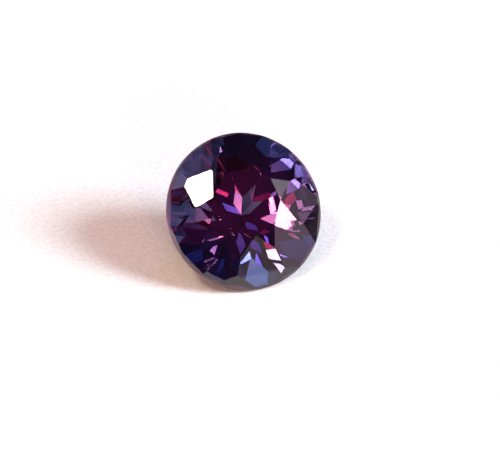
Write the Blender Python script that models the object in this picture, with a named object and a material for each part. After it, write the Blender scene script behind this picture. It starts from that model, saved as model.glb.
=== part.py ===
"""A round alexandrite, hand cut with nine mains and lying on one of its pavilion mains.

Lengths are in metres. The stone is cut about its own axis, with its girdle around the origin and its
table on top, and then laid down: the table faces -Y and up. Azimuths are in degrees, counter-clockwise as
seen from the table, and a facet's angle is measured from the plane of the girdle, as a lapidary's
protractor shows it.
"""

from math import atan2, cos, degrees, radians, sin, tan

import bmesh
import bpy
from mathutils import Matrix, Vector

GIRDLE_RADIUS = 0.0032
GIRDLE_TOP = 0.00006
GIRDLE_BOTTOM = -0.0001
GIRDLE_SIDES = 96

TABLE_HEIGHT = 0.00107
TABLE_RADIUS = 0.00139
CULET_DEPTH = 0.00347
CULET_FACET_RADIUS = 0.00092

MAINS = 9
STEP = 360 / MAINS
REST_AZIMUTH = -90.0

CROWN_MAIN_ANGLE = 25.0
STAR_ANGLE = 19.5
BREAK_ANGLE = 37.5
SKILL_ANGLE = 43.0
LOWER_BREAK_STEEPER = 2.25
LOWER_BREAK_SPREAD = 12.5
CULET_FACET_SHALLOWER = 5.75
CULET_FACET_TURN = 0.6 * STEP

SNAP = 2e-7


def toward(azimuth, length=1.0):
    """A level vector at an azimuth."""
    return Vector((cos(radians(azimuth)), sin(radians(azimuth)), 0.0)) * length


# A hand-cut stone is never quite centred: its table and its culet both stand a little off the middle.
CROWN_CENTRE = toward(107, 0.00026)
CULET = toward(0, 0.00022) - Vector((0, 0, CULET_DEPTH))

# The facets that the cutter left off their tier: how far each is turned, how much steeper it is, and how
# far it stands proud. Facet 0 of a tier is the one at the resting side, or the first after it, and the rest
# follow counter-clockwise. The skill facets lie below the crown's mains, between the breaks.
MAIN_FAULTS = {
    1: (-1.5, 0.0, 0.0),
    2: (1.5, 1.0, 0.0),
    5: (-1.0, 0.0, 0.00002),
    6: (-4.5, 1.5, 0.0),
    7: (1.0, 0.0, 0.000025),
}
STAR_FAULTS = {5: (4.5, -2.0, 0.0), 6: (1.0, -0.5, 0.000035)}
BREAK_FAULTS = {
    1: (10.0, -5.0, 0.0),
    2: (1.5, -2.5, 0.0),
    5: (-4.5, 0.0, 0.00002),
    6: (-7.0, 1.5, -0.00002),
}
SKILL_FAULTS = {6: (-5.0, 0.0, 0.0)}
LOWER_MAIN_FAULTS = {
    1: (2.5, 0.75, 0.0),
    2: (3.5, -0.5, 0.0),
    3: (0.0, 0.25, 0.0),
    4: (1.5, 0.0, 0.0),
    6: (0.5, -0.5, 0.0),
    7: (5.0, -0.5, 0.0),
    8: (-3.5, 2.25, 0.0),
}
LOWER_BREAK_FAULTS = {
    0: (-3.0, -1.5, 0.0),
    1: (-1.0, 0.0, 0.0),
    3: (1.5, 0.25, 0.0),
    6: (2.5, -0.5, 0.0),
    8: (-4.0, 0.25, 0.0),
    10: (-1.5, -1.5, 0.0),
    15: (-1.0, 0.0, 0.0),
}
TRUE = (0.0, 0.0, 0.0)


def clear_scene():
    for obj in list(bpy.data.objects):
        bpy.data.objects.remove(obj)


def rough_stone():
    """The preformed blank: a cylinder as wide as the girdle, from the culet up to the table."""
    stone = bmesh.new()
    height = TABLE_HEIGHT + CULET_DEPTH
    bmesh.ops.create_cone(
        stone,
        cap_ends=True,
        segments=GIRDLE_SIDES,
        radius1=GIRDLE_RADIUS,
        radius2=GIRDLE_RADIUS,
        depth=height,
        matrix=Matrix.Translation((0, 0, TABLE_HEIGHT - height / 2)),
    )
    return stone


def cut(stone, azimuth, angle, point, proud=0.0):
    """Grinds away all that lies outside one facet: a plane that faces up if its angle is under 90."""
    normal = toward(azimuth) * sin(radians(angle)) + Vector((0, 0, cos(radians(angle))))
    sliced = bmesh.ops.bisect_plane(
        stone,
        geom=stone.verts[:] + stone.edges[:] + stone.faces[:],
        dist=SNAP,
        plane_co=point + normal * proud,
        plane_no=normal,
        clear_outer=True,
    )
    rim = [part for part in sliced["geom_cut"] if isinstance(part, bmesh.types.BMEdge)]
    if rim:
        bmesh.ops.contextual_create(stone, geom=rim)


def cut_tier(stone, first_azimuth, angle, centre, radius, height, faults):
    """Cuts one tier of the crown: its planes all pass one radius and height, apart from their faults."""
    for index in range(MAINS):
        turned, steeper, proud = faults.get(index, TRUE)
        azimuth = first_azimuth + index * STEP + turned
        point = centre + toward(azimuth, radius) + Vector((0, 0, height))
        cut(stone, azimuth, angle + steeper, point, proud)


def cut_crown(stone):
    """Mains and stars share the table's corners, and breaks and skills share the girdle's top edge."""
    between = REST_AZIMUTH + STEP / 2
    table_edge = TABLE_RADIUS * cos(radians(STEP / 2))
    middle = Vector((0, 0, 0))
    cut_tier(stone, REST_AZIMUTH, CROWN_MAIN_ANGLE, CROWN_CENTRE, TABLE_RADIUS, TABLE_HEIGHT, MAIN_FAULTS)
    cut_tier(stone, between, BREAK_ANGLE, middle, GIRDLE_RADIUS, GIRDLE_TOP, BREAK_FAULTS)
    cut_tier(stone, REST_AZIMUTH, SKILL_ANGLE, middle, GIRDLE_RADIUS, GIRDLE_TOP, SKILL_FAULTS)
    cut_tier(stone, between, STAR_ANGLE, CROWN_CENTRE, table_edge, TABLE_HEIGHT, STAR_FAULTS)


def pavilion_angle(azimuth):
    """The angle of a line from the girdle's lower edge to the culet, steeper on the culet's own side."""
    run = GIRDLE_RADIUS - CULET.dot(toward(azimuth))
    return degrees(atan2(GIRDLE_BOTTOM + CULET_DEPTH, run))


def cut_pavilion_facet(stone, azimuth, steeper, fault):
    """A facet that passes exactly through the girdle's lower edge at its own azimuth."""
    turned, more, proud = fault
    azimuth += turned
    point = toward(azimuth, GIRDLE_RADIUS) + Vector((0, 0, GIRDLE_BOTTOM))
    cut(stone, azimuth, 180 - pavilion_angle(azimuth) - steeper - more, point, proud)


def cut_culet_facet(stone, azimuth):
    """A small shallow facet that starts on the main's slope and takes the tip of the stone away."""
    angle = pavilion_angle(azimuth)
    run = CULET_FACET_RADIUS - CULET.dot(toward(azimuth))
    height = run * tan(radians(angle)) - CULET_DEPTH
    point = toward(azimuth, CULET_FACET_RADIUS) + Vector((0, 0, height))
    cut(stone, azimuth, 180 - angle + CULET_FACET_SHALLOWER, point)


def cut_pavilion(stone):
    """Nine mains meet at the culet, pairs of breaks narrow them, and nine small facets end the tip."""
    for index in range(MAINS):
        azimuth = REST_AZIMUTH + index * STEP
        cut_pavilion_facet(stone, azimuth, 0.0, LOWER_MAIN_FAULTS.get(index, TRUE))
    for index in range(2 * MAINS):
        gap, side = divmod(index, 2)
        azimuth = REST_AZIMUTH + (gap + 0.5) * STEP + (2 * side - 1) * LOWER_BREAK_SPREAD
        cut_pavilion_facet(stone, azimuth, LOWER_BREAK_STEEPER, LOWER_BREAK_FAULTS.get(index, TRUE))
    for index in range(MAINS):
        cut_culet_facet(stone, REST_AZIMUTH + CULET_FACET_TURN + index * STEP)


def crystal_material():
    """Clear alexandrite: strongly refracting, polished, and a deep blue violet by daylight."""
    material = bpy.data.materials.new("alexandrite")
    material.use_nodes = True
    shader = material.node_tree.nodes["Principled BSDF"]
    shader.inputs["Base Color"].default_value = (0.16, 0.13, 0.42, 1.0)
    shader.inputs["Metallic"].default_value = 0.0
    shader.inputs["Roughness"].default_value = 0.02
    shader.inputs["IOR"].default_value = 1.75
    shader.inputs["Transmission Weight"].default_value = 1.0
    return material


def lay_down(stone_object):
    """Turns the stone onto its resting facet, over the origin, with the lowest point at height 0."""
    rest_angle = radians(pavilion_angle(REST_AZIMUTH))
    stone_object.rotation_euler.x = rest_angle
    turn = Matrix.Rotation(rest_angle, 3, "X")
    corners = [turn @ vertex.co for vertex in stone_object.data.vertices]
    low = [min(corner[axis] for corner in corners) for axis in range(3)]
    high = [max(corner[axis] for corner in corners) for axis in range(3)]
    stone_object.location = (-(low[0] + high[0]) / 2, -(low[1] + high[1]) / 2, -low[2])


def main():
    clear_scene()
    collection = bpy.data.collections.new("Alexandrite gemstone")
    bpy.context.scene.collection.children.link(collection)

    stone = rough_stone()
    cut_crown(stone)
    cut_pavilion(stone)
    bmesh.ops.recalc_face_normals(stone, faces=stone.faces)

    mesh = bpy.data.meshes.new("alexandrite")
    stone.to_mesh(mesh)
    stone.free()
    mesh.materials.append(crystal_material())
    stone_object = bpy.data.objects.new("alexandrite", mesh)
    collection.objects.link(stone_object)
    lay_down(stone_object)


main()
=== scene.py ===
# %% [markdown]
# # A round alexandrite, dressed for its photograph
#
# Alexandrite is chrysoberyl with a trace of chromium. It lets blue green and red through about equally well and stops
# the yellow between them, so a cool lamp shows as blue in it and a warm one as raspberry red. This lesson takes the
# solid from the CAD step, gives it the polish and the colour of the real crystal, and lights it.
#
# The order is: load the solid, find the stone's own axis, set the camera, join the facets, build the crystal's
# material, then the floor, the lamps and the room.

# %% Loading the solid
from math import atan2, cos, degrees, exp, pi, radians, sin, tan

import bmesh
import bpy
import numpy as np
from mathutils import Matrix, Quaternion, Vector


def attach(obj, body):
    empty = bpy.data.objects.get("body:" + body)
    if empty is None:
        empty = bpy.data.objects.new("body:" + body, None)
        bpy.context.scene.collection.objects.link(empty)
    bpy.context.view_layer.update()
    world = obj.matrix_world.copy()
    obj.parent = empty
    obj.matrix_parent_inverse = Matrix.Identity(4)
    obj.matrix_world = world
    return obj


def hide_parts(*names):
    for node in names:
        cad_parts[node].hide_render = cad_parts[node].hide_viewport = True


NODE = "alexandrite"
MM = 0.001

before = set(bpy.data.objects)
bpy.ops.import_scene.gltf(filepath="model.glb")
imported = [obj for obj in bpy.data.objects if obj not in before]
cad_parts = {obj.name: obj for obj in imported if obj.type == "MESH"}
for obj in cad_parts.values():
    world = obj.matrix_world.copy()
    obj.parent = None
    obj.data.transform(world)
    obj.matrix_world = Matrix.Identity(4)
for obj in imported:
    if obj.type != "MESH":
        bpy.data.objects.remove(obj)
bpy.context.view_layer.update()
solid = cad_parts[NODE]
print("node:", solid.name, "with", len(solid.data.polygons), "triangles")

# %% [markdown]
# ## Finding the stone's own axis
#
# The stone lies on one facet of its underside, so its own axis leans in the shared frame. Several finishes follow that
# axis: the girdle is frosted all round it, and the colour changes with the distance from it. The axis is the normal of
# the table, which is by far the largest flat face. Reading it from the solid keeps every later step right if the cut
# changes, where a typed-in angle would not.

# %% Measuring the axis
NORMAL_DIGITS = 3


def triangles_of(mesh):
    """The corners of a mesh's triangles as one array of shape (triangles, 3 corners, 3 coordinates)."""
    mesh.calc_loop_triangles()
    corners = np.empty(len(mesh.vertices) * 3)
    mesh.vertices.foreach_get("co", corners)
    index = np.empty(len(mesh.loop_triangles) * 3, dtype=np.int32)
    mesh.loop_triangles.foreach_get("vertices", index)
    return corners.reshape(-1, 3)[index].reshape(-1, 3, 3)


def largest_flat_face(triangles):
    """The unit normal of the flat face with the most area.

    The cross product of two sides of a triangle points along its normal and is twice its area long. Triangles whose
    rounded normals are equal are one face, so each face's area is the sum of theirs.
    """
    cross = np.cross(triangles[:, 1] - triangles[:, 0], triangles[:, 2] - triangles[:, 0])
    area = np.linalg.norm(cross, axis=1) / 2
    normal = cross / (2 * area[:, None])
    _, face = np.unique(np.round(normal, NORMAL_DIGITS), axis=0, return_inverse=True)
    face = face.ravel()
    largest = np.bincount(face, weights=area).argmax()
    mean = cross[face == largest].sum(axis=0)
    return mean / np.linalg.norm(mean)


cad_triangles = triangles_of(solid.data)
AXIS = largest_flat_face(cad_triangles)
LEAN = atan2(-AXIS[1], AXIS[2])
print("axis:", AXIS.round(4), "lean in degrees:", round(degrees(LEAN), 2))

# %% [markdown]
# ## Finding the girdle
#
# The girdle is the stone's widest ring. Once the corners are turned back by the lean, its radius and its middle are
# half the width and the middle of the turned box, and the corners that lie a whole radius from the axis give its
# height. Everything after this is placed from these three values: the camera, the frosted band and the colour zones.

# %% Measuring the girdle
ON_THE_RING = 0.999

lay_down = Matrix.Rotation(LEAN, 3, "X")
turned_back = cad_triangles.reshape(-1, 3) @ np.array(lay_down)
low, high = turned_back.min(axis=0), turned_back.max(axis=0)
RADIUS = (high[0] - low[0]) / 2
across = (low[:2] + high[:2]) / 2
from_axis = np.linalg.norm(turned_back[:, :2] - across, axis=1)
ring_heights = turned_back[from_axis > RADIUS * ON_THE_RING, 2]
GIRDLE_HEIGHT = ring_heights.max() - ring_heights.min()
MIDDLE = lay_down @ Vector((*across, (ring_heights.max() + ring_heights.min()) / 2))
print("girdle radius in mm:", round(RADIUS / MM, 3), "height:", round(GIRDLE_HEIGHT / MM, 3))
print("girdle middle in mm:", [round(value / MM, 3) for value in MIDDLE])

# %% [markdown]
# ## The camera
#
# A long macro lens sees so small a stone almost without perspective. The camera stands a little left of the table's
# own direction and 37 degrees up, which turns the round girdle into the slightly narrowed circle of the photograph.
# The whole frame is 20 mm wide, and the stone stands a little left of its middle and above it. Two numbers read from
# the photograph are enough to frame it: how many pixels the girdle's radius takes, and the pixel its middle falls on.

# %% Placing the camera
CAMERA_BEARING = 20.9
CAMERA_ELEVATION = 36.75
CAMERA_ROLL = -0.7
CAMERA_DISTANCE = 250 * MM
FRAME_WIDTH, FRAME_HEIGHT = 500, 473
GIRDLE_RADIUS_PIXELS = 79.5
MIDDLE_PIXEL = (243.5, 211.5)
SENSOR = 36.0
NEAREST, FARTHEST = 10 * MM, 10000 * MM


def toward(bearing, elevation):
    """The unit vector toward a bearing and an elevation, both as the person behind the camera sees them.

    Bearing 0 is straight ahead and 90 is to the right; elevation is the angle above the floor. The vector is
    (sin b cos e, cos b cos e, sin e), where b is the bearing plus the camera's own.
    """
    b, e = radians(bearing + CAMERA_BEARING), radians(elevation)
    return Vector((sin(b) * cos(e), cos(b) * cos(e), sin(e)))


def place_camera():
    """A long lens aimed beside the stone, so that the girdle's middle falls on its own pixel."""
    back = toward(180, CAMERA_ELEVATION)
    turn = Quaternion(back, radians(CAMERA_ROLL)) @ back.to_track_quat("Z", "Y")
    right, up = turn @ Vector((1, 0, 0)), turn @ Vector((0, 1, 0))
    metres_per_pixel = RADIUS / GIRDLE_RADIUS_PIXELS
    aside = (FRAME_WIDTH / 2 - MIDDLE_PIXEL[0]) * metres_per_pixel
    below = (FRAME_HEIGHT / 2 - MIDDLE_PIXEL[1]) * metres_per_pixel
    data = bpy.data.cameras.new("macro camera")
    data.sensor_width = SENSOR
    data.lens = SENSOR * CAMERA_DISTANCE / (FRAME_WIDTH * metres_per_pixel)
    data.clip_start, data.clip_end = NEAREST, FARTHEST
    made = bpy.data.objects.new("macro camera", data)
    made.rotation_mode = "QUATERNION"
    made.rotation_quaternion = turn
    made.location = MIDDLE + right * aside - up * below + back * CAMERA_DISTANCE
    bpy.context.scene.collection.objects.link(made)
    bpy.context.scene.camera = made
    return made


camera = place_camera()
print("lens in mm:", round(camera.data.lens, 1), "camera at:", [round(value, 4) for value in camera.location])

# %% [markdown]
# ## The stone
#
# A mesh from CAD comes as loose triangles. They are merged at their corners and joined wherever they are coplanar, so
# that each facet is one face, as it is on the real stone. The edges stay sharp. On most objects a rounded edge looks
# more real, but a polished gem's edges are very sharp, and the light that is folded up inside shows every change of
# shape. A Bevel modifier of only 0.0015 mm takes several of the large flashes of this stone away.

# %% Joining the triangles into facets
WELD = 0.0001 * MM
SAME_FACET = radians(0.15)


def joined_copy(source, name):
    """A copy of a CAD node whose loose triangles are merged at their corners and joined where they are coplanar."""
    work = bmesh.new()
    work.from_mesh(source.data)
    bmesh.ops.remove_doubles(work, verts=work.verts, dist=WELD)
    bmesh.ops.dissolve_limit(work, angle_limit=SAME_FACET, verts=work.verts, edges=work.edges)
    bmesh.ops.recalc_face_normals(work, faces=work.faces)
    mesh = bpy.data.meshes.new(name)
    work.to_mesh(mesh)
    work.free()
    made = bpy.data.objects.new(name, mesh)
    bpy.context.scene.collection.objects.link(made)
    return made


stone = joined_copy(solid, "polished_stone")
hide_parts(NODE)
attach(stone, "root")
print("facets:", len(stone.data.polygons))

# %% [markdown]
# ## Small tools for materials
#
# The crystal, the floor and the room are all drawn with Blender's shader nodes. Four short functions keep their
# listings readable: one step of arithmetic, one smooth step between two values, one mix of two colours and one noise. A
# socket that holds one value all over the surface is set directly instead, without any node.

# %% Node tools
def calculated(tree, operation, *inputs):
    """One Math node; each input is a number or the output of another node."""
    node = tree.nodes.new("ShaderNodeMath")
    node.operation = operation
    for socket, value in zip(node.inputs, inputs):
        if isinstance(value, (int, float)):
            socket.default_value = value
        else:
            tree.links.new(value, socket)
    return node.outputs[0]


def smooth_range(tree, value, low, high):
    """0 below low and 1 above high. Between them it rises as 3t^2 - 2t^3, where t is the share of the way."""
    node = tree.nodes.new("ShaderNodeMapRange")
    node.interpolation_type = "SMOOTHSTEP"
    node.inputs["From Min"].default_value = low
    node.inputs["From Max"].default_value = high
    tree.links.new(value, node.inputs["Value"])
    return node.outputs["Result"]


def mixed(tree, factor, first, second):
    """The colour a part of the way from the first to the second; each is a colour or the output of a node."""
    node = tree.nodes.new("ShaderNodeMix")
    node.data_type = "RGBA"
    tree.links.new(factor, node.inputs["Factor"])
    colour_sockets = [socket for socket in node.inputs if socket.type == "RGBA"]
    for socket, colour in zip(colour_sockets, (first, second)):
        if isinstance(colour, tuple):
            socket.default_value = colour
        else:
            tree.links.new(colour, socket)
    return next(socket for socket in node.outputs if socket.type == "RGBA")


def noise(tree, place, scale, detail):
    """Smooth noise between 0 and 1 at a place; scale is how many waves fit into one unit of length."""
    node = tree.nodes.new("ShaderNodeTexNoise")
    node.inputs["Scale"].default_value = scale
    node.inputs["Detail"].default_value = detail
    tree.links.new(place, node.inputs["Vector"])
    return node.outputs["Fac"]


print("node tools:", [tool.__name__ for tool in (calculated, smooth_range, mixed, noise)])

# %% [markdown]
# ## The crystal's material
#
# Chrysoberyl bends light strongly: its index of refraction is 1.75, against 1.33 for water, and that is what folds the
# room up inside the stone. Its colour has two sources. Every millimetre of crystal takes its share of the light, most
# of all of the yellow green, and a Volume Absorption node does that by the millimetre, so the long ways through the
# stone come out darker and redder than the short ones. On top of that alexandrite is pleochroic: its colour depends on
# the direction in which light crosses the crystal. Seen from above, the middle of this stone looks wine red and its
# border blue violet, so the tint of the surface changes with the distance from the axis, and a slow noise bends that
# change as the growth zones of a real crystal do. The two tints were found as the lamps further down were, by a search
# against the photograph, and then rounded.
#
# The girdle was ground to shape and never polished. It gets a tint and a roughness of its own: a frosted, paler band,
# with the fine grain that the grinding left.

# %% Crystal
REFRACTIVE_INDEX = 1.75
MIDDLE_TINT = (0.2, 0.48, 0.56, 1.0)
BORDER_TINT = (0.04, 0.22, 0.32, 1.0)
MIDDLE_ENDS, BORDER_STARTS = 0.25, 0.85
ZONE_SCALE, ZONE_DETAIL, ZONE_BEND = 1.6, 3.0, 0.5
GIRDLE_TINT = (0.62, 0.66, 0.72, 1.0)
GROUND_TINT = (0.45, 0.48, 0.56, 1.0)
GRINDING_SCALE, GRINDING_DETAIL = 60.0, 2.0
SCRATCHED, SMOOTH = 0.35, 0.65
BAND_EDGE = 0.1
POLISHED, GROUND = 0.0, 0.4
PASSED = (0.7, 0.045, 0.39, 1.0)
DENSITY = 360.0


def place_on_stone(tree):
    """Object coordinates in girdle radii, with the girdle's middle at 0 and Z along the stone's own axis."""
    mapping = tree.nodes.new("ShaderNodeMapping")
    mapping.vector_type = "TEXTURE"
    mapping.inputs["Location"].default_value = MIDDLE
    mapping.inputs["Rotation"].default_value = (LEAN, 0, 0)
    mapping.inputs["Scale"].default_value = (RADIUS, RADIUS, RADIUS)
    tree.links.new(tree.nodes.new("ShaderNodeTexCoord").outputs["Object"], mapping.inputs["Vector"])
    return mapping.outputs["Vector"]


def crystal():
    """Principled glass whose tint follows the crystal's zones, with a volume that absorbs by the millimetre."""
    material = bpy.data.materials.new("alexandrite crystal")
    material.use_nodes = True
    tree = material.node_tree
    place = place_on_stone(tree)
    parts = tree.nodes.new("ShaderNodeSeparateXYZ")
    tree.links.new(place, parts.inputs[0])

    squares = [calculated(tree, "MULTIPLY", parts.outputs[axis], parts.outputs[axis]) for axis in "XY"]
    radius = calculated(tree, "SQRT", calculated(tree, "ADD", *squares))
    slow = noise(tree, place, ZONE_SCALE, ZONE_DETAIL)
    bend = calculated(tree, "MULTIPLY_ADD", slow, ZONE_BEND, -ZONE_BEND / 2)
    outward = smooth_range(tree, calculated(tree, "ADD", radius, bend), MIDDLE_ENDS, BORDER_STARTS)
    zones = mixed(tree, outward, MIDDLE_TINT, BORDER_TINT)

    grinding = smooth_range(tree, noise(tree, place, GRINDING_SCALE, GRINDING_DETAIL), SCRATCHED, SMOOTH)
    frosted = mixed(tree, grinding, GROUND_TINT, GIRDLE_TINT)
    half_girdle = GIRDLE_HEIGHT / 2 / RADIUS
    height = calculated(tree, "ABSOLUTE", parts.outputs["Z"])
    on_facets = smooth_range(tree, height, half_girdle * (1 - BAND_EDGE), half_girdle * (1 + BAND_EDGE))

    shader = tree.nodes["Principled BSDF"]
    tree.links.new(mixed(tree, on_facets, frosted, zones), shader.inputs["Base Color"])
    roughness = calculated(tree, "MULTIPLY_ADD", on_facets, POLISHED - GROUND, GROUND)
    tree.links.new(roughness, shader.inputs["Roughness"])
    shader.inputs["IOR"].default_value = REFRACTIVE_INDEX
    shader.inputs["Transmission Weight"].default_value = 1.0
    absorption = tree.nodes.new("ShaderNodeVolumeAbsorption")
    absorption.inputs["Color"].default_value = PASSED
    absorption.inputs["Density"].default_value = DENSITY
    tree.links.new(absorption.outputs["Volume"], tree.nodes["Material Output"].inputs["Volume"])
    return material


stone.data.materials.append(crystal())
left = [round(exp(-DENSITY * (1 - share) * MM), 2) for share in PASSED[:3]]
print("share of red, green and blue that is left after 1 mm:", left)

# %% [markdown]
# ## The floor
#
# The stone lies on a plain pale floor with a fine grain, like card or close felt, which also gives the eye the stone's
# size. One noise does both jobs: it makes the pits a little darker, partly the grain's own tone and partly painted
# shade, and it dents them, which gives them depth. Beyond the picture the pale floor fades into grey: partly the pale
# sheet's own edge, partly painted shade where the light falls off, a pool of light painted into the floor's colour.
# The facets near the floor mirror it as far as the horizon, and with white all the way out they would carry a pale
# veil. The floor is a hair's breadth below the resting facet, because glass that shares a surface with something else
# stops behaving as glass there.

# %% Floor
FLOOR_HALF = 400 * MM
AIR_GAP = 0.002 * MM
GRAIN, GRAIN_DETAIL = 0.17 * MM, 2.0
GRAIN_HEIGHT = 0.012 * MM
PIT_ENDS, RIDGE_STARTS = 0.35, 0.6
FLOOR_ROUGHNESS = 0.9
PALE = (0.87, 0.86, 0.85, 1.0)
PIT_TONE_AND_PAINTED_SHADE = (0.80, 0.78, 0.76, 1.0)
GREY_WITH_PAINTED_FALLOFF = (0.20, 0.19, 0.20, 1.0)
PALE_RADIUS, GREY_RADIUS = 21 * MM, 28 * MM


def floor_material():
    """A matt pale surface whose pits are a little darker, partly their own tone and partly painted shade, and dented by
    the same noise; far out it fades to grey, partly painted shade where the light falls off.
    """
    material = bpy.data.materials.new("pale floor")
    material.use_nodes = True
    tree = material.node_tree
    place = tree.nodes.new("ShaderNodeTexCoord").outputs["Object"]
    grain = noise(tree, place, 1 / GRAIN, GRAIN_DETAIL)
    distance = tree.nodes.new("ShaderNodeVectorMath")
    distance.operation = "LENGTH"
    tree.links.new(place, distance.inputs[0])
    # Grey far out: partly the pale sheet's edge, partly painted shade where the light falls off.
    outer = smooth_range(tree, distance.outputs["Value"], PALE_RADIUS, GREY_RADIUS)
    bump = tree.nodes.new("ShaderNodeBump")
    bump.inputs["Distance"].default_value = GRAIN_HEIGHT
    tree.links.new(grain, bump.inputs["Height"])
    shader = tree.nodes["Principled BSDF"]
    # The pits are coloured a little darker than the ridges: partly the grain's tone, partly painted shade.
    raised = smooth_range(tree, grain, PIT_ENDS, RIDGE_STARTS)
    pale = mixed(tree, raised, PIT_TONE_AND_PAINTED_SHADE, PALE)
    tree.links.new(mixed(tree, outer, pale, GREY_WITH_PAINTED_FALLOFF), shader.inputs["Base Color"])
    tree.links.new(bump.outputs["Normal"], shader.inputs["Normal"])
    shader.inputs["Roughness"].default_value = FLOOR_ROUGHNESS
    return material


print("grain in mm:", round(GRAIN / MM, 2), "pale out to, in mm:", round(PALE_RADIUS / MM))

# %% [markdown]
# The floor is far larger than the picture, so that the facets which look almost level see floor and no edge.

# %% Laying the floor
def lay_floor():
    """A square plane centred on the origin: it isn't part of the object."""
    mesh = bpy.data.meshes.new("floor")
    corners = np.array([(-1, -1, 0), (1, -1, 0), (1, 1, 0), (-1, 1, 0)]) * FLOOR_HALF
    corners[:, 2] = -AIR_GAP
    mesh.from_pydata(corners.tolist(), [], [(0, 1, 2, 3)])
    mesh.materials.append(floor_material())
    made = bpy.data.objects.new("floor", mesh)
    bpy.context.scene.collection.objects.link(made)
    return made


floor = lay_floor()
print("floor in mm:", [round(value / MM) for value in floor.dimensions])

# %% [markdown]
# ## The lamps
#
# A cut stone is judged by its flashes, and each flash is a lamp seen through one small field of folded facets. Every
# facet is flat, so the field shows a single direction of the room, and it lights up as a whole or not at all. That is
# why small lamps far away make a stone lively, and one large soft box makes it dull.
#
# Two lamps do the visible work. The key stands to the right, a third of the way up: it lights the floor and throws the
# soft shadow to the left. The window stands behind the camera's left shoulder, where one large crown facet mirrors it,
# and it is warmer, so the shadow that the key leaves is beige. The rest are small lamps round the stone. Alexandrite
# wants mixed light to show both its colours, so some are warm or rose, like incandescent bulbs with a gel, and some
# are blue, like a clear sky. The coloured ones also stand for dispersion, the splitting of white light that gives real
# flashes their red and blue sides, which this renderer's glass doesn't have.
#
# The small lamps weren't placed one by one by eye. A separate program followed rays through a model of the stone, tried
# lamps at random and kept those that brought the flashes nearer to the photograph. Most of the rows below are its
# answers, rounded to whole degrees and to a few sizes, colours and strengths, and the others were added one by one,
# many at directions that the same ray follower gave. So this list is fitted to one view of one stone. For another
# stone, a handful of lamps placed by eye is the better start.

# %% Lamps
COOL = (0.72, 0.9, 1.0)
WARM = (1.0, 0.78, 0.53)
ROSE = (1.0, 0.45, 0.6)
RED = (1.0, 0.12, 0.2)
BLUE = (0.35, 0.5, 1.0)
LATE_SUN = (1.0, 0.82, 0.6)
TINY, SMALL, MIDDLING, WIDE = 2.0, 3.0, 4.5, 7.0
LAMP_DISTANCE = 300 * MM
LAMPS = (
    ("key", 107, 35, 12.0, COOL, 31),
    ("window", -131, 62, 5.0, LATE_SUN, 33),
    ("warm, low behind the camera's left", -141, 5, MIDDLING, WARM, 40),
    ("warm, low behind the camera", 165, 20, MIDDLING, WARM, 50),
    ("warm, low behind the camera's right", 144, 8, WIDE, WARM, 12),
    ("rose, low on the right", 106, 16, TINY, ROSE, 26),
    ("warm, behind the camera", 166, 25, SMALL, WARM, 18),
    ("red, behind the camera's left", -156, 25, MIDDLING, RED, 8),
    ("red, low behind the camera", -168, 17, SMALL, RED, 18),
    ("warm, high on the left", -98, 64, TINY, WARM, 36),
    ("warm, high ahead on the left", -42, 56, TINY, WARM, 26),
    ("blue, high ahead on the right", 40, 66, TINY, BLUE, 45),
    ("blue, behind the camera's left", -154, 32, TINY, BLUE, 18),
    ("warm, overhead, behind the camera", 168, 71, TINY, WARM, 18),
    ("warm, high ahead", -18, 54, TINY, WARM, 16),
    ("red, ahead", 6, 33, TINY, RED, 12),
    ("red, behind the camera", 179, 45, MIDDLING, RED, 2),
    ("red, high behind the camera's right", 157, 55, TINY, RED, 14),
    ("blue, behind the camera", 163, 31, TINY, BLUE, 8),
    ("blue, high behind the camera", -179, 54, SMALL, BLUE, 3),
    ("cool, behind the camera's right", 129, 29, TINY, COOL, 3),
    ("warm, behind the camera's right", 157, 21, TINY, WARM, 11),
    ("warm, higher behind the camera's right", 147, 31, TINY, WARM, 9),
    ("warm, low over the right shoulder", 139, 16, TINY, WARM, 4),
    ("red, low behind the camera's right", 162, 6, TINY, RED, 5),
    ("warm, just behind the camera", 171, 22, TINY, WARM, 9),
    ("warm, overhead, behind the camera's left", -170, 66, TINY, WARM, 32),
    ("cool, overhead, behind the camera's right", 157, 73, TINY, COOL, 6),
    ("cool, high ahead", -14, 55, TINY, COOL, 3),
    ("cool, on the right", 89, 31, TINY, COOL, 1),
    ("warm, behind the camera's left", -164, 18, TINY, WARM, 6),
    ("warm, high on the right", 90, 66, TINY, WARM, 4),
    ("cool, high behind the camera's right", 133, 43, TINY, COOL, 5),
)
print("lamps:", len(LAMPS), "of which tiny:", sum(lamp[3] == TINY for lamp in LAMPS))

# %% [markdown]
# Each lamp is given as a name, a bearing, an elevation, half the angle it spans, a colour and a radiance, which is how
# bright it looks in a facet. What it adds to the floor grows with its radiance and with the solid angle it covers, so a
# tiny lamp can burn out a facet and still leave the floor alone.

# %% Placing the lamps
def distant_lamp(name, bearing, elevation, half_angle, colour, radiance):
    """A lamp so far away that its rays are parallel but for its own width, so where it stands changes nothing.

    A disc of that half angle covers a solid angle of about pi tan^2(half angle), and the energy is the radiance
    times that. So a small lamp and a wide one of equal radiance look equally bright in a facet.
    """
    data = bpy.data.lights.new(name, "SUN")
    data.angle = 2 * radians(half_angle)
    data.color = colour
    data.energy = radiance * pi * tan(radians(half_angle)) ** 2
    made = bpy.data.objects.new(name, data)
    made.rotation_mode = "QUATERNION"
    made.rotation_quaternion = toward(bearing, elevation).to_track_quat("Z", "Y")
    made.location = toward(bearing, elevation) * LAMP_DISTANCE
    bpy.context.scene.collection.objects.link(made)
    return made


lamps = [distant_lamp(*values) for values in LAMPS]
by_energy = sorted(lamps, key=lambda lamp: -lamp.data.energy)
print("strongest lamps:", [(lamp.name, round(lamp.data.energy, 2)) for lamp in by_energy[:3]])
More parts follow.
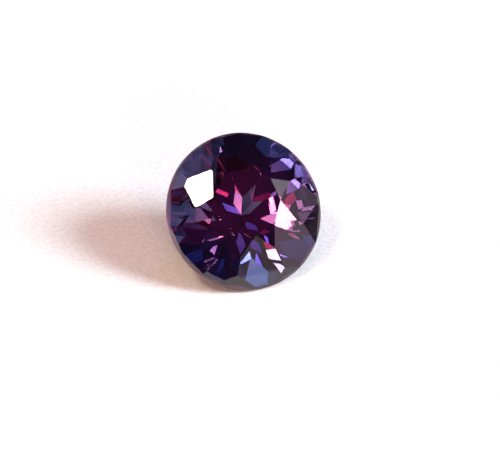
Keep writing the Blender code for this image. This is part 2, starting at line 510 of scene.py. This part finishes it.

# %% [markdown]
# ## The room
#
# A polished stone shows the room twice, mirrored in its crown and folded up inside. So the room matters more than the
# lamps do for the facets that don't flash. It is dim, with a few brighter parts. A bright wall at the right gives the
# grey veil over the right side of the crown. A wine red part behind the camera fills the middle of the stone, because
# the facets underneath send most of what enters there back the way it came. The others keep the quiet facets from
# going black. Each part is a patch of directions with soft borders: a bearing and an elevation, and how far it reaches
# to each side of them. All but the wine red one, and the dim colour between them, came out of the same search as the
# lamps, and some were changed a little.

# %% Parts of the room
ROOM = (0.042, 0.015, 0.024)
PATCHES = (
    ("bright wall on the right", 105, 10, 20, 24, (1.1, 0.8, 0.95)),
    ("blue pane ahead on the right", 37, 30, 6, 6, (0.09, 0.15, 0.6)),
    ("pale pane on the left", -87, 39, 6, 8, (1.0, 1.0, 1.9)),
    ("violet strip high ahead on the left", -47, 57, 24, 7, (0.4, 0.29, 0.76)),
    ("brown wall low on the left", -58, 11, 68, 22, (0.27, 0.18, 0.04)),
    ("faint blue over the right half", 93, 30, 90, 33, (0.02, 0.02, 0.11)),
    ("wine red behind the camera", 175, 45, 60, 22, (0.14, 0.0, 0.04)),
)
BLUR = 6.0
print("parts of the room:", [name for name, *_ in PATCHES])

# %% [markdown]
# A world material gets the direction of each ray. Its two angles come from the direction's east, north and up shares:
# the bearing is the arc tangent of east over north, and the elevation is the arc sine of up. Every part of the room is
# then a window over the bearing times a window over the elevation, in its own colour, and the parts are added up.

# %% Room
def near(tree, angle, middle, half_width):
    """1 where an angle in degrees is within half a width of the middle, falling to 0 over the blur at each end."""
    turned = calculated(tree, "WRAP", calculated(tree, "SUBTRACT", angle, middle), 180.0, -180.0)
    off = calculated(tree, "ABSOLUTE", turned)
    beyond = smooth_range(tree, off, half_width - BLUR / 2, half_width + BLUR / 2)
    return calculated(tree, "SUBTRACT", 1.0, beyond)


def scaled_and_added(tree, share, colour, total):
    """A colour times a share, added to the light that is there already."""
    scaled = tree.nodes.new("ShaderNodeVectorMath")
    scaled.operation = "SCALE"
    scaled.inputs[0].default_value = colour
    tree.links.new(share, scaled.inputs["Scale"])
    added = tree.nodes.new("ShaderNodeVectorMath")
    added.operation = "ADD"
    tree.links.new(scaled.outputs[0], added.inputs[0])
    if isinstance(total, tuple):
        added.inputs[1].default_value = total
    else:
        tree.links.new(total, added.inputs[1])
    return added.outputs[0]


def room():
    """A world whose colour is the room's own plus each patch, found from the direction's two angles."""
    world = bpy.data.worlds.new("room")
    world.use_nodes = True
    bpy.context.scene.world = world
    tree = world.node_tree
    parts = tree.nodes.new("ShaderNodeSeparateXYZ")
    tree.links.new(tree.nodes.new("ShaderNodeTexCoord").outputs["Generated"], parts.inputs[0])
    east, north, up = parts.outputs
    bearing = calculated(tree, "DEGREES", calculated(tree, "ARCTAN2", east, north))
    elevation = calculated(tree, "DEGREES", calculated(tree, "ARCSINE", up))
    total = ROOM
    for _, middle, height, half_width, half_height, colour in PATCHES:
        across = near(tree, bearing, middle + CAMERA_BEARING, half_width)
        upward = near(tree, elevation, height, half_height)
        total = scaled_and_added(tree, calculated(tree, "MULTIPLY", across, upward), colour, total)
    tree.links.new(total, tree.nodes["Background"].inputs["Color"])
    return world


world = room()
print("world:", len(world.node_tree.nodes), "nodes")

# %% [markdown]
# ## Light paths and tones
#
# Light may bounce a dozen times between the facets before it finds a way out, and each bounce that is cut off leaves a
# black field, so the stone gets far more bounces than a room would. The clamps are off because they would grey the
# flashes, and the glossy filter because it would blur what the facets mirror. Caustics through glass are off: from
# lamps this far away they would only come out as grains of noise on the floor. The Standard view shows the light as it
# is, so a flash burns out to white as it does on film.

# %% Light paths and tones
BOUNCES = 32

scene = bpy.context.scene
scene.view_settings.view_transform = "Standard"
scene.cycles.max_bounces = BOUNCES
scene.cycles.transmission_bounces = BOUNCES
scene.cycles.glossy_bounces = BOUNCES // 2
scene.cycles.sample_clamp_indirect = 0
scene.cycles.sample_clamp_direct = 0
scene.cycles.caustics_reflective = False
scene.cycles.caustics_refractive = False
scene.cycles.blur_glossy = 0.0
print("bounces:", scene.cycles.max_bounces, "view:", scene.view_settings.view_transform)
